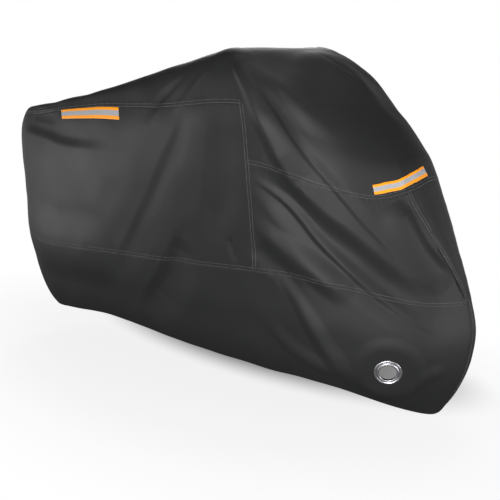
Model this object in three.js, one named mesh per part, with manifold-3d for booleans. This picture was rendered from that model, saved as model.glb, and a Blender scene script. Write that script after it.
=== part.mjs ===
// A fitted motorcycle cover as it hangs: woven panels, a belted skirt, steel eyelets and reflective strips.
// Millimetres. X runs forward, Y to the left and Z up. The origin lies under the top, where it is highest.
import * as THREE from "three";
import { mergeVertices } from "three/addons/utils/BufferGeometryUtils.js";
import Module from "manifold-3d";

const wasm = await Module();
wasm.setup();

// Driving dimensions
const clothThickness = 2;
const hemThickness = 3.5;
const seamGap = 0.3;
const hemStart = 5.85; // the level below which the cloth is turned up and sewn
const topHeight = 1193; // of the cloth at its highest; the lowest hem is at about 98
const hemDraw = 110; // how far the elastic hem would run inwards past its edge
const stripThickness = 1;
const stripGap = 0.9;
const stripCells = 7; // along each straight stretch of a strip
const flatRadius = 74; // the cloth is flat this far from the middle of an eyelet
const blendRadius = 120; // and joins its folds again here
const eyeletSize = {
  outer: 42, hole: 26, barrel: 28.5, lip: 33, lipDepth: 1.5, turns: 32,
  // The stepped outer face, as [radius, height over the cloth]
  face: [[42, 1.2], [40.5, 2.6], [36, 3], [34, 2.4], [32, 4.2], [28.5, 4.6], [26, 3.2]],
};
const cutterLength = 30; // of the cylinder that cuts an eyelet's hole through the cloth
const foldReach = 160; // wider than any fold
const foldStops = 12; // points along each fold's path
const foldEnds = { first: 0.15, rise: 5, last: 0.05, fall: 4 }; // how a fold's height fades at its ends
const smoothTop = 0.8; // the cloth lies smooth from the ridge to this level
const tangentStep = 1e-3;

// The draped shape: one row for each rib down the right side, from the tail to the nose.
// Each entry is [forward of the origin, out from the middle, height].
const levels = ["ridge", "shoulder", "eave", "yoke", "belt", "skirt", "hem"];
const ribs = [
  {
    name: "tail", ridge: [-1100, 0, 972], shoulder: [-1194, 0, 964], eave: [-1243, 0, 931],
    yoke: [-1272, 0, 810], belt: [-1243, 0, 545], skirt: [-1202, 0, 300], hem: [-1122, 0, 136],
  },
  {
    name: "tailCorner", ridge: [-1060, 0, 976], shoulder: [-1136, 97, 968], eave: [-1178, 130, 938],
    yoke: [-1198, 150, 812], belt: [-1155, 167, 520], skirt: [-1111, 172, 300], hem: [-1036, 144, 150],
  },
  {
    name: "rump", ridge: [-960, 0, 991], shoulder: [-975, 150, 989], eave: [-979, 190, 959],
    yoke: [-985, 240, 810], belt: [-965, 268, 466], skirt: [-955, 262, 310], hem: [-920, 222, 168],
  },
  {
    name: "seat", ridge: [-600, 0, 1056], shoulder: [-600, 198, 1058], eave: [-600, 252, 1002],
    yoke: [-600, 298, 830], belt: [-600, 308, 490], skirt: [-600, 294, 350], hem: [-600, 252, 208],
  },
  {
    name: "knee", ridge: [-260, 0, 1130], shoulder: [-260, 238, 1137], eave: [-250, 312, 1022],
    yoke: [-245, 330, 855], belt: [-240, 322, 515], skirt: [-240, 308, 360], hem: [-240, 264, 199],
  },
  {
    name: "side", ridge: [30, 0, 1193], shoulder: [10, 275, 1187], eave: [100, 352, 1050],
    yoke: [114, 342, 880], belt: [125, 316, 545], skirt: [120, 306, 380], hem: [120, 264, 196],
  },
  {
    name: "flank", ridge: [120, 0, 1188], shoulder: [174, 272, 1123], eave: [265, 290, 970],
    yoke: [330, 280, 824], belt: [350, 284, 540], skirt: [350, 286, 370], hem: [330, 256, 200],
  },
  {
    name: "cheek", ridge: [190, 0, 1160], shoulder: [281, 203, 1051], eave: [380, 222, 926],
    yoke: [455, 202, 792], belt: [562, 178, 490], skirt: [592, 178, 320], hem: [533, 162, 142],
  },
  {
    name: "noseSeam", ridge: [240, 0, 1130], shoulder: [350, 112, 1015], eave: [456, 121, 909],
    yoke: [526, 104, 809], belt: [674, 47, 471], skirt: [697, 52, 298], hem: [624, 64, 99],
  },
  {
    name: "nose", ridge: [270, 0, 1112], shoulder: [370, 0, 1016], eave: [471, 0, 918],
    yoke: [538, 0, 822], belt: [688, 0, 476], skirt: [707, 0, 298], hem: [643, 0, 107],
  },
];
const lastRib = ribs.length - 1;
const lastLevel = levels.length - 1;
const ring = 2 * lastRib; // ribs on round the left side, back to the tail
const ribAt = Object.fromEntries(ribs.map((rib, i) => [rib.name, i]));
const levelAt = Object.fromEntries(levels.map((level, i) => [level, i]));
const sideRight = ribAt.side;
const sideLeft = ring - ribAt.side;
const noseRight = ribAt.noseSeam;
const noseLeft = ring - ribAt.noseSeam;

// How far the nose seams run from their ribs towards the middle, as [level, ribs]
const noseDrift = [
  [2, 0], [3, -0.14], [3.25, -0.086], [3.5, 0.075], [3.75, 0.344],
  [4, 0.72], [4.4, 0.32], [4.8, 0.08], [5.2, 0],
];

// Folds: each runs over the cloth through points [rib, level] and is highest (or lowest) on that path.
// It falls off over the distances left and right, as one walks the path seen from outside, and its
// width grows from the share start at its first point. Ribs past the nose count on down the left side.
const folds = [
  { at: [[4.85, 0.85], [5, 1.05], [5.1, 1.25]], height: 5, left: 62, right: 62, start: 1 },
  { at: [[13.15, 0.85], [13, 1.05], [12.9, 1.25]], height: 8, left: 60, right: 60, start: 1 },
  {
    at: [[5.06, 1.18], [5.12, 1.6], [5.19, 2], [5.31, 2.45], [5.45, 2.87], [5.62, 3.08]],
    height: 18, left: 105, right: 32, start: 0.2,
  },
  {
    at: [[5.1, 3.05], [5.52, 3.28], [5.91, 3.47], [6.29, 3.62], [6.94, 3.9], [7.5, 4.06]],
    height: -20, left: 64, right: 110, start: 0.6,
  },
  {
    at: [[5.04, 3.53], [5.29, 3.68], [5.65, 3.82], [6.01, 3.97], [6.3, 4.15]],
    height: 12, left: 60, right: 46, start: 0.6,
  },
  { at: [[5, 3.7], [5.17, 3.85], [5.43, 4], [5.68, 4.25]], height: -7, left: 34, right: 50, start: 1 },
  {
    at: [[5.34, 4.02], [5.61, 4.38], [5.89, 4.92], [6.13, 5.38], [6.45, 5.85]],
    height: 7, left: 45, right: 34, start: 0.5,
  },
  {
    at: [[7.42, 3.2], [7.47, 3.37], [7.58, 3.55], [7.81, 3.7], [8.1, 3.82]],
    height: 13, left: 38, right: 72, start: 1,
  },
  {
    at: [[4.33, 1.45], [4.12, 1.68], [3.96, 1.93], [3.82, 2.43]],
    height: -5, left: 28, right: 28, start: 0.5,
  },
  {
    at: [[4.35, 2.1], [4.25, 2.65], [4.11, 3.03], [3.93, 3.35], [3.73, 3.62], [3.49, 3.98], [3.3, 4.6]],
    height: -5, left: 50, right: 42, start: 0.6,
  },
  {
    at: [[4.26, 3.03], [4.09, 3.27], [3.93, 3.5], [3.72, 3.77], [3.48, 4.15]],
    height: 2.5, left: 42, right: 34, start: 0.6,
  },
  {
    at: [[4.74, 2.22], [4.68, 3.02], [4.62, 3.38], [4.52, 3.75]],
    height: -8, left: 60, right: 66, start: 0.8,
  },
  { at: [[4.2, 3.73], [4.1, 4], [3.92, 4.57], [3.66, 5.5]], height: -14, left: 72, right: 56, start: 0.7 },
  { at: [[1.4, 2.4], [2.19, 2.57], [2.52, 2.7], [3.33, 2.77]], height: -10, left: 75, right: 42, start: 1 },
  { at: [[1.2, 3.75], [2.19, 4], [2.69, 4.05], [3.3, 4.05]], height: 17, left: 150, right: 155, start: 1 },
  { at: [[5.13, 4.98], [5.5, 5.37], [6, 5.62], [6.31, 5.67]], height: 4, left: 40, right: 30, start: 1 },
  { at: [[7.02, 5.68], [7.23, 5.37], [7.62, 5.12]], height: 5, left: 35, right: 35, start: 1 },
  { at: [[13.1, 1.2], [12.7, 2.2], [12, 3.2], [11, 4.1]], height: 16, left: 60, right: 70, start: 0.4 },
  { at: [[12.9, 3.2], [12.2, 3.9], [11.4, 4.7]], height: -12, left: 45, right: 50, start: 0.5 },
  { at: [[13.4, 1.6], [13.9, 2.6], [14.6, 4]], height: -10, left: 45, right: 45, start: 0.5 },
  { at: [[13.3, 3], [13.5, 4.2], [13.3, 5.3]], height: -10, left: 55, right: 50, start: 0.7 },
  { at: [[16.6, 2.6], [15.6, 2.85], [14.8, 2.9]], height: -9, left: 40, right: 32, start: 1 },
  { at: [[16.4, 3.2], [15.4, 3.7], [14.9, 4.2]], height: 12, left: 110, right: 100, start: 1 },
];

// Where things sit on the cloth, as [rib, level]
const eyeletSpots = { eyelet_right: [6.75, 5.35], eyelet_left: [ring - 6.75, 5.35] };
const stripSpots = {
  rear_strip: { top: [[2.38, 2.04], [3.35, 2.06]], bottom: [[2.44, 2.33], [3.4, 2.36]] },
  front_strip: {
    top: [[7.11, 2.82], [7.84, 2.82], [8.93, 2.77]], bottom: [[7.06, 2.965], [7.81, 2.97], [8.98, 2.95]],
  },
};

// The lines that the cloth is built on; the left side mirrors the right
const rightLines = [
  ...[0, 1 / 3, 2 / 3, 1, 1 + 1 / 3, 1 + 2 / 3],
  ...[2, 3].flatMap((rib) => [0, 1, 2, 3, 4, 5].map((part) => rib + part / 6)),
  ...[4, 5].flatMap((rib) => [0, 1, 2, 3, 4, 5, 6, 7].map((part) => rib + part / 8)),
  ...[6, 6.14, 6.28, 6.42, 6.56, 6.75, 6.94, 7.1, 7.3, 7.5, 7.7, 7.85, 8, 8.3, 8.6, 8.9],
];
const ribLines = [...rightLines, lastRib, ...rightLines.slice(1).reverse().map((line) => ring - line)];
const levelLines = [
  ...[0, 0.5, 1, 1 + 1 / 3, 1 + 2 / 3, 2, 2.33, 2.57, 2.8],
  ...[0, 1, 2, 3, 4, 5, 6, 7, 8].map((part) => 3 + part / 9),
  ...[4, 4.28, 4.55, 4.82, 5.07, 5.35, 5.63, 5.9, 6],
];

// The base form: a smooth surface through the ribs
function ribPoint(index, level) {
  const turn = ((index % ring) + ring) % ring;
  const side = turn <= lastRib ? -1 : 1;
  const rib = ribs[turn <= lastRib ? turn : ring - turn];
  if (level < 0) {
    const { ridge, shoulder } = rib;
    return new THREE.Vector3(2 * ridge[0] - shoulder[0], -side * shoulder[1], shoulder[2]);
  }
  if (level > lastLevel) {
    const { skirt, hem } = rib;
    const fall = new THREE.Vector3(hem[0] - skirt[0], side * (hem[1] - skirt[1]), hem[2] - skirt[2]);
    const inwards = new THREE.Vector3(fall.x, fall.y, 0).setLength(hemDraw);
    return new THREE.Vector3(hem[0], side * hem[1], hem[2]).add(fall).add(inwards);
  }
  const [forward, out, up] = rib[levels[level]];
  return new THREE.Vector3(forward, side * out, up);
}

function smoothThrough(points, t) {
  const weights = [
    -0.5 * t + t * t - 0.5 * t ** 3,
    1 - 2.5 * t * t + 1.5 * t ** 3,
    0.5 * t + 2 * t * t - 1.5 * t ** 3,
    -0.5 * t * t + 0.5 * t ** 3,
  ];
  const sum = new THREE.Vector3();
  points.forEach((point, i) => sum.addScaledVector(point, weights[i]));
  return sum;
}

function formPoint(u, v) {
  const rib = Math.floor(u);
  const level = Math.min(Math.floor(v), lastLevel - 1);
  const near = [-1, 0, 1, 2];
  return smoothThrough(
    near.map((i) => smoothThrough(near.map((j) => ribPoint(rib + i, level + j)), v - level)),
    u - rib,
  );
}

const tent = (x) => Math.max(0, 1 - Math.abs(x));

// The lines of the cloth, which run in towards the nose with its seams
function basePoint(u, v) {
  const turn = ((u % ring) + ring) % ring;
  const next = noseDrift.findIndex(([level]) => level > v);
  if (next < 1) return formPoint(u, v);
  const [[above, start], [below, end]] = [noseDrift[next - 1], noseDrift[next]];
  const drift = THREE.MathUtils.mapLinear(v, above, below, start, end);
  return formPoint(u + drift * (tent(turn - noseRight) - tent(turn - noseLeft)), v);
}

function tangents(pointAt, u, v) {
  const up = Math.max(v - tangentStep, 0);
  const along = pointAt(u + tangentStep, v).sub(pointAt(u - tangentStep, v)).normalize();
  const down = pointAt(u, v + tangentStep).sub(pointAt(u, up)).normalize();
  return { along, down, normal: new THREE.Vector3().crossVectors(down, along).normalize() };
}

// Folds
const foldPaths = folds.map((fold) => {
  const stops = new THREE.CatmullRomCurve3(fold.at.map(([u, v]) => new THREE.Vector3(u, v, 0)));
  const points = stops.getPoints(foldStops).map(({ x, y }) => formPoint(x, y));
  return { ...fold, points, box: new THREE.Box3().setFromPoints(points).expandByScalar(foldReach) };
});

function foldHeight(fold, point, normal) {
  if (!fold.box.containsPoint(point)) return 0;
  let best = { far: Infinity };
  const nearest = new THREE.Vector3();
  for (let i = 0; i + 1 < fold.points.length; i += 1) {
    const line = new THREE.Line3(fold.points[i], fold.points[i + 1]);
    const part = line.closestPointToPointParameter(point, true);
    const far = line.at(part, nearest).distanceTo(point);
    if (far < best.far) {
      const walk = line.delta(new THREE.Vector3());
      const across = new THREE.Vector3().subVectors(point, nearest);
      const turn = walk.cross(across).dot(normal);
      best = { far, share: (i + part) / (fold.points.length - 1), turn };
    }
  }
  const grow = fold.start + (1 - fold.start) * Math.min(1, best.share * 2);
  const width = (best.turn > 0 ? fold.left : fold.right) * grow;
  const { first, rise, last, fall } = foldEnds;
  const fade = Math.min(1, first + rise * best.share, last + fall * (1 - best.share));
  return best.far < width ? fold.height * grow * fade * (1 - (best.far / width) ** 2) ** 2 : 0;
}

function foldedPoint(u, v) {
  const point = basePoint(u, v);
  const { normal } = tangents(basePoint, u, v);
  const height = foldPaths.reduce((sum, fold) => sum + foldHeight(fold, point, normal), 0);
  return point.addScaledVector(normal, height * Math.min(1, v / smoothTop));
}

// Flat rounds where the eyelets are clamped
const eyelets = Object.entries(eyeletSpots).map(([name, [u, v]]) => {
  const centre = foldedPoint(u, v);
  const { normal } = tangents(foldedPoint, u, v);
  return { name, centre, normal };
});

function clothPoint(u, v) {
  const point = foldedPoint(u, v);
  for (const { centre, normal } of eyelets) {
    const far = point.distanceTo(centre);
    const blend = 1 - THREE.MathUtils.smoothstep(far, flatRadius, blendRadius);
    const off = new THREE.Vector3().subVectors(point, centre).dot(normal);
    point.addScaledVector(normal, -off * blend);
  }
  return point;
}

// One cloth piece: the cells of its lines that it covers, with a thickness inwards (or outwards)
function clothPiece({ across, downLines, covers, closed, outside, inside, pointAt = clothPoint }) {
  const positions = [];
  const index = [];
  const made = new Map();
  const count = across.length;
  const ridgeShared = closed && downLines[0].at === 0;

  function corner(i, j) {
    let column = closed ? i % count : i;
    if (ridgeShared && j === 0 && column > count / 2) column = count - column;
    const key = `${column},${j}`;
    if (!made.has(key)) {
      const [u, v] = [across[column], downLines[j]];
      const { along, down, normal } = tangents(pointAt, u.at, v.at);
      if (ridgeShared && j === 0) normal.setY(0).normalize();
      const point = pointAt(u.at, v.at).addScaledVector(along, u.inset).addScaledVector(down, v.inset);
      made.set(key, positions.length / 3);
      positions.push(...point.clone().addScaledVector(normal, outside).toArray());
      positions.push(...point.addScaledVector(normal, -inside(v.at)).toArray());
    }
    return made.get(key);
  }

  const has = (i, j) => {
    const column = closed ? (i + count) % count : i;
    const inGrid = j >= 0 && j + 1 < downLines.length && (closed || (i >= 0 && i + 1 < count));
    return inGrid && covers(column, j);
  };
  const quad = (a, b, c, d) => index.push(a, b, c, a, c, d);
  const place = (n) => new THREE.Vector3().fromArray(positions, 3 * n);
  const span = closed ? ring : 0;

  // Each cell is split along the diagonal that lies nearer to the cloth at its middle
  function foldsAlongFirst(i, j) {
    const next = across[(i + 1) % count].at + (i + 1 === count ? span : 0);
    const middle = pointAt((across[i].at + next) / 2, (downLines[j].at + downLines[j + 1].at) / 2);
    const [a, b, c, d] = [corner(i, j), corner(i, j + 1), corner(i + 1, j + 1), corner(i + 1, j)].map(place);
    return a.add(c).divideScalar(2).distanceTo(middle) <= b.add(d).divideScalar(2).distanceTo(middle);
  }
  const columns = closed ? count : count - 1;
  for (let i = 0; i < columns; i += 1) {
    for (let j = 0; j + 1 < downLines.length; j += 1) {
      if (!has(i, j)) continue;
      const [a, b, c, d] = [corner(i, j), corner(i, j + 1), corner(i + 1, j + 1), corner(i + 1, j)];
      if (foldsAlongFirst(i, j)) {
        quad(a, b, c, d);
        quad(a + 1, d + 1, c + 1, b + 1);
      } else {
        quad(b, c, d, a);
        quad(b + 1, a + 1, d + 1, c + 1);
      }
      if (!has(i, j - 1) && !(ridgeShared && j === 0)) quad(d, d + 1, a + 1, a);
      if (!has(i, j + 1)) quad(c, b, b + 1, c + 1);
      if (!has(i - 1, j)) quad(b, a, a + 1, b + 1);
      if (!has(i + 1, j)) quad(c, c + 1, d + 1, d);
    }
  }
  const geometry = new THREE.BufferGeometry();
  geometry.setAttribute("position", new THREE.Float32BufferAttribute(positions, 3));
  geometry.setIndex(index);
  return geometry;
}

// Lines between two places, with half a seam gap off each end that is a seam
function linesFrom(lines, from, to, seamed = [true, true]) {
  const kept = lines.filter((line) => line > from + 1e-6 && line < to - 1e-6);
  return [
    { at: from, inset: seamed[0] ? seamGap / 2 : 0 },
    ...kept.map((at) => ({ at, inset: 0 })),
    { at: to, inset: seamed[1] ? -seamGap / 2 : 0 },
  ];
}

const wallThickness = (v) => (v > hemStart ? hemThickness : clothThickness);
const everyRib = ribLines.map((at) => ({ at, inset: 0 }));

function panel(from, to, top, bottom) {
  return clothPiece({
    across: linesFrom(ribLines, from, to),
    downLines: linesFrom(levelLines, top, bottom),
    covers: () => true,
    closed: false,
    outside: 0,
    inside: wallThickness,
  });
}

function rearSidePanel() {
  const round = [...ribLines, ...ribLines.map((line) => line + ring)];
  return clothPiece({
    across: linesFrom(round, sideLeft, ring + sideRight),
    downLines: linesFrom(levelLines, levelAt.eave, levelAt.belt),
    covers: () => true,
    closed: false,
    outside: 0,
    inside: wallThickness,
  });
}

function topPanel() {
  const across = everyRib.map(({ at }) => {
    const seam = { [sideRight]: seamGap / 2, [sideLeft]: -seamGap / 2 };
    return { at, inset: seam[at] ?? 0 };
  });
  const downLines = linesFrom(levelLines, 0, levelAt.yoke, [false, true]).map(({ at, inset }) => ({
    at,
    inset: at === levelAt.eave ? -seamGap / 2 : inset,
  }));
  const aboveEave = (j) => downLines[j].at < levelAt.eave - 1e-6;
  const front = (i) => across[i].at >= sideRight && across[i].at < sideLeft;
  return clothPiece({
    across,
    downLines,
    covers: (i, j) => aboveEave(j) || front(i),
    closed: true,
    outside: 0,
    inside: wallThickness,
  });
}

function toManifold(geometry) {
  const plain = geometry.clone();
  plain.deleteAttribute("normal");
  plain.deleteAttribute("uv");
  const merged = mergeVertices(plain, 1e-3);
  return new wasm.Manifold(new wasm.Mesh({
    numProp: 3,
    vertProperties: merged.attributes.position.array,
    triVerts: new Uint32Array(merged.index.array),
  }));
}

function fromManifold(solid) {
  const { vertProperties, triVerts } = solid.getMesh();
  const geometry = new THREE.BufferGeometry();
  geometry.setAttribute("position", new THREE.Float32BufferAttribute(vertProperties, 3));
  geometry.setIndex([...triVerts]);
  return geometry;
}

const upright = new THREE.Vector3(0, 1, 0);

// The skirt is sewn from two halves, joined at the tail and at the nose
function skirtHalf(from, to, { centre, normal }) {
  const solid = toManifold(clothPiece({
    across: linesFrom(ribLines, from, to),
    downLines: linesFrom(levelLines, levelAt.belt, levelAt.hem, [true, false]),
    covers: () => true,
    closed: false,
    outside: 0,
    inside: wallThickness,
  }));
  const radius = eyeletSize.barrel + seamGap;
  const cutter = new THREE.CylinderGeometry(radius, radius, cutterLength, eyeletSize.turns);
  cutter.applyQuaternion(new THREE.Quaternion().setFromUnitVectors(upright, normal));
  cutter.translate(...centre.toArray());
  return fromManifold(solid.subtract(toManifold(cutter)));
}

function eyeletRing() {
  const { outer, hole, barrel, lip, lipDepth, turns, face } = eyeletSize;
  const under = -clothThickness - seamGap;
  const profile = [
    [hole, under - lipDepth], [lip, under - lipDepth], [lip, under], [barrel, under], [barrel, seamGap],
    [outer, seamGap], ...face, [hole, under - lipDepth],
  ];
  return new THREE.LatheGeometry(profile.map(([r, y]) => new THREE.Vector2(r, y)), turns);
}

// A strip follows the corners of its top and bottom edges; a place on it is (stop along, share down)
function strip({ top, bottom }) {
  const between = (edge, along) => {
    const stop = THREE.MathUtils.clamp(Math.floor(along), 0, edge.length - 2);
    return [0, 1].map((k) => THREE.MathUtils.lerp(edge[stop][k], edge[stop + 1][k], along - stop));
  };
  const lines = [];
  for (let i = 0; i <= stripCells * (top.length - 1); i += 1) lines.push({ at: i / stripCells, inset: 0 });
  return clothPiece({
    across: lines,
    downLines: [{ at: 0, inset: 0 }, { at: 1, inset: 0 }],
    covers: () => true,
    closed: false,
    outside: stripGap + stripThickness,
    inside: () => -stripGap,
    pointAt: (along, down) => {
      const [upper, lower] = [between(top, along), between(bottom, along)];
      return clothPoint(...[0, 1].map((k) => THREE.MathUtils.lerp(upper[k], lower[k], down)));
    },
  });
}

// Materials
const cloth = new THREE.MeshStandardMaterial({ color: 0x2e2f30, roughness: 0.62, metalness: 0 });
const steel = new THREE.MeshStandardMaterial({ color: 0xb9bcc0, roughness: 0.22, metalness: 1 });
const reflective = new THREE.MeshStandardMaterial({ color: 0xa9a9a9, roughness: 0.4, metalness: 0.3 });

function addPiece(parent, name, geometry, material) {
  const mesh = new THREE.Mesh(geometry, material);
  geometry.computeVertexNormals();
  mesh.name = name;
  parent.add(mesh);
  return mesh;
}

const cover = new THREE.Group();
cover.position.z = -(topHeight - clothThickness);
const { eave, yoke, belt } = levelAt;
addPiece(cover, "top_panel", topPanel(), cloth);
addPiece(cover, "rear_side_panel", rearSidePanel(), cloth);
addPiece(cover, "front_side_panel_right", panel(sideRight, noseRight, yoke, belt), cloth);
addPiece(cover, "front_side_panel_left", panel(noseLeft, sideLeft, yoke, belt), cloth);
addPiece(cover, "nose_panel", panel(noseRight, noseLeft, yoke, belt), cloth);
addPiece(cover, "skirt_right", skirtHalf(0, lastRib, eyelets[0]), cloth);
addPiece(cover, "skirt_left", skirtHalf(lastRib, ring, eyelets[1]), cloth);
for (const { name, centre, normal } of eyelets) {
  const ringMesh = addPiece(cover, name, eyeletRing(), steel);
  ringMesh.position.copy(centre);
  ringMesh.quaternion.setFromUnitVectors(upright, normal);
}
for (const [name, spot] of Object.entries(stripSpots)) addPiece(cover, name, strip(spot), reflective);

const group = new THREE.Group();
group.add(cover);
export default group;
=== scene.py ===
import math
import bpy
import numpy as np
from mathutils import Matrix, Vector


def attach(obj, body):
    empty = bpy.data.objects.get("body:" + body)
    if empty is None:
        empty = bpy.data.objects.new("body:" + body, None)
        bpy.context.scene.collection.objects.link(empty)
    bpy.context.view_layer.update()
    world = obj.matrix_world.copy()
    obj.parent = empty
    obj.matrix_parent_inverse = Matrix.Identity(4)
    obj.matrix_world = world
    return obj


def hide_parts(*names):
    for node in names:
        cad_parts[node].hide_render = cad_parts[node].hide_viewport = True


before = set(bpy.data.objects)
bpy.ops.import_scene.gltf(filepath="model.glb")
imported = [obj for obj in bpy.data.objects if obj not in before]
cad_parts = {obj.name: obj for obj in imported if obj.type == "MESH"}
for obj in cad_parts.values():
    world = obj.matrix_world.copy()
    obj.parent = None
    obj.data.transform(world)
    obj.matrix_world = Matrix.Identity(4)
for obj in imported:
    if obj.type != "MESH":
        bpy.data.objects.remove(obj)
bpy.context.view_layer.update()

mm = 0.001


# The form of the cover, in mm: one row for each rib down the right side, from the tail to the nose.
# A rib has a point for each level, (forward, out, height): ridge, shoulder, eave, yoke, belt, skirt and hem.
coverForm = {
    "topHeight": 1191,
    "ribs": [
        [(-1100, 0, 972), (-1194, 0, 964), (-1243, 0, 931), (-1272, 0, 810),
         (-1243, 0, 545), (-1202, 0, 300), (-1122, 0, 136)],
        [(-1060, 0, 976), (-1136, 97, 968), (-1178, 130, 938), (-1198, 150, 812),
         (-1155, 167, 520), (-1111, 172, 300), (-1036, 144, 150)],
        [(-960, 0, 991), (-975, 150, 989), (-979, 190, 959), (-985, 240, 810),
         (-965, 268, 466), (-955, 262, 310), (-920, 222, 168)],
        [(-600, 0, 1056), (-600, 198, 1058), (-600, 252, 1002), (-600, 298, 830),
         (-600, 308, 490), (-600, 294, 350), (-600, 252, 208)],
        [(-260, 0, 1130), (-260, 238, 1137), (-250, 312, 1022), (-245, 330, 855),
         (-240, 322, 515), (-240, 308, 360), (-240, 264, 199)],
        [(30, 0, 1193), (10, 275, 1187), (100, 352, 1050), (114, 342, 880),
         (125, 316, 545), (120, 306, 380), (120, 264, 196)],
        [(120, 0, 1188), (174, 272, 1123), (265, 290, 970), (330, 280, 824),
         (350, 284, 540), (350, 286, 370), (330, 256, 200)],
        [(190, 0, 1160), (281, 203, 1051), (380, 222, 926), (455, 202, 792),
         (562, 178, 490), (592, 178, 320), (533, 162, 142)],
        [(240, 0, 1130), (350, 112, 1015), (456, 121, 909), (526, 104, 809),
         (674, 47, 471), (697, 52, 298), (624, 64, 99)],
        [(270, 0, 1112), (370, 0, 1016), (471, 0, 918), (538, 0, 822),
         (688, 0, 476), (707, 0, 298), (643, 0, 107)],
    ],
    "hemDraw": 110,  # how far the elastic hem would run inwards past its edge
    "smoothTop": 0.8,  # the cloth lies smooth from the ridge to this level
    # how far the nose seams run from their ribs towards the middle: levels, and ribs
    "noseDrift": ((2, 3, 3.25, 3.5, 3.75, 4, 4.4, 4.8, 5.2),
                  (0, -0.14, -0.086, 0.075, 0.344, 0.72, 0.32, 0.08, 0)),
}
# The levels and ribs that seams and edges follow
eave, yoke, belt, hem = 2, 3, 4, 6
tail, side, noseSeam, nose = 0, 5, 8, 9
ring = 18  # ribs all round: the left side counts on from the nose back to the tail
leftNose, leftSide = ring - noseSeam, ring - side


# A fold runs through points (rib, level), and is highest or lowest on that path. It falls off over
# the widths left and right in mm, as one walks the path seen from outside. "start" is its share of width
# at the first point, and "crest" goes from 0, a round fold, to 1, a sharp one.
def foldAlong(at, height, left, right, start=1, crest=0):
    return {"at": at, "height": height, "left": left, "right": right, "start": start, "crest": crest}


folds = [
    # the two high corners
    foldAlong([(4.85, .85), (5, 1.05), (5.1, 1.25)], height=5, left=62, right=62),
    foldAlong([(13.15, .85), (13, 1.05), (12.9, 1.25)], height=8, left=60, right=60),
    # the front side, from the high corner down towards the nose
    foldAlong([(5.06, 1.18), (5.12, 1.6), (5.19, 2), (5.31, 2.45), (5.45, 2.87), (5.62, 3.08)],
              height=18, left=105, right=32, start=.2, crest=.3),
    foldAlong([(5.28, 1.3), (5.46, 1.63), (5.73, 2.18), (6, 2.77), (6.5, 3.2), (6.97, 3.5), (7.2, 3.75)],
              height=-5, left=36, right=13, start=.7, crest=.4),
    foldAlong([(5.1, 3.05), (5.52, 3.28), (5.91, 3.47), (6.29, 3.62), (6.94, 3.9), (7.5, 4.06)],
              height=-20, left=64, right=110, start=.6),
    foldAlong([(5.1, 3.18), (5.52, 3.35), (5.91, 3.58), (6.27, 3.77), (6.79, 4.08), (7.4, 4.42)],
              height=8, left=30, right=19, start=.7, crest=.3),
    foldAlong([(5.04, 3.53), (5.29, 3.68), (5.65, 3.82), (6.01, 3.97), (6.3, 4.15)],
              height=12, left=60, right=46, start=.6, crest=.1),
    foldAlong([(5, 3.7), (5.17, 3.85), (5.43, 4), (5.68, 4.25)], height=-7, left=34, right=50),
    foldAlong([(5.34, 4.02), (5.61, 4.38), (5.89, 4.92), (6.13, 5.38), (6.45, 5.85)],
              height=7, left=45, right=34, start=.5, crest=.2),
    # the nose, beside its seam and beside the front strip
    foldAlong([(7.46, 3.08), (7.47, 3.3), (7.56, 3.52), (7.75, 3.68), (8, 3.8)],
              height=16, left=40, right=74, crest=.1),
    foldAlong([(8.1, 2.1), (7.89, 2.75), (7.79, 3), (7.77, 3.15)],
              height=5, left=35, right=30, start=.6, crest=.6),
    # the top, fanning back from the high corner
    foldAlong([(4.67, 1.38), (4.44, 1.72), (4.32, 1.97), (4.2, 2.17)],
              height=5, left=18, right=30, start=.5, crest=.3),
    foldAlong([(4.33, 1.45), (4.12, 1.68), (3.96, 1.93), (3.82, 2.43)],
              height=-5, left=28, right=28, start=.5),
    # the rear side
    foldAlong([(4.35, 2.1), (4.25, 2.65), (4.11, 3.03), (3.93, 3.35), (3.73, 3.62), (3.49, 3.98), (3.3, 4.6)],
              height=-5, left=80, right=42, start=.6),
    foldAlong([(4.26, 3.03), (4.09, 3.27), (3.93, 3.5), (3.72, 3.77), (3.48, 4.15)],
              height=2, left=42, right=55, start=.6, crest=.1),
    foldAlong([(4.74, 2.22), (4.68, 3.02), (4.62, 3.38), (4.52, 3.75)],
              height=-8, left=105, right=60, start=.8),
    foldAlong([(4.2, 3.73), (4.1, 4), (3.92, 4.57), (3.66, 5.5)], height=-16, left=135, right=50, start=.7),
    # the tail: its crease, its bulge and a dent above the rear strip
    foldAlong([(1.4, 2.4), (2.19, 2.57), (2.52, 2.7), (3.33, 2.77)], height=-10, left=75, right=42, crest=.1),
    foldAlong([(1.2, 3.75), (2.19, 4), (2.69, 4.05), (3.3, 4.05)], height=17, left=150, right=155),
    foldAlong([(1.7, 2.06), (2.36, 2.3)], height=-4, left=34, right=34),
    # the belt seam and the skirt
    foldAlong([(4.74, 3.7), (4.79, 3.93)], height=-4, left=10, right=24, crest=.2),
    foldAlong([(5.13, 4.98), (5.5, 5.37), (6, 5.62), (6.31, 5.67)], height=4, left=40, right=30, crest=.1),
    foldAlong([(7.02, 5.68), (7.23, 5.37), (7.62, 5.12)], height=5, left=35, right=35, crest=.1),
    # the left side
    foldAlong([(13.1, 1.2), (12.7, 2.2), (12, 3.2), (11, 4.1)],
              height=16, left=60, right=70, start=.4, crest=.4),
    foldAlong([(12.9, 3.2), (12.2, 3.9), (11.4, 4.7)], height=-12, left=45, right=50, start=.5, crest=.1),
    foldAlong([(13.4, 1.6), (13.9, 2.6), (14.6, 4)], height=-10, left=45, right=45, start=.5, crest=.1),
    foldAlong([(13.3, 3), (13.5, 4.2), (13.3, 5.3)], height=-10, left=55, right=50, start=.7, crest=.1),
    foldAlong([(16.6, 2.6), (15.6, 2.85), (14.8, 2.9)], height=-9, left=40, right=32, crest=.1),
    foldAlong([(16.4, 3.2), (15.4, 3.7), (14.9, 4.2)], height=12, left=110, right=100),
]
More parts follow.
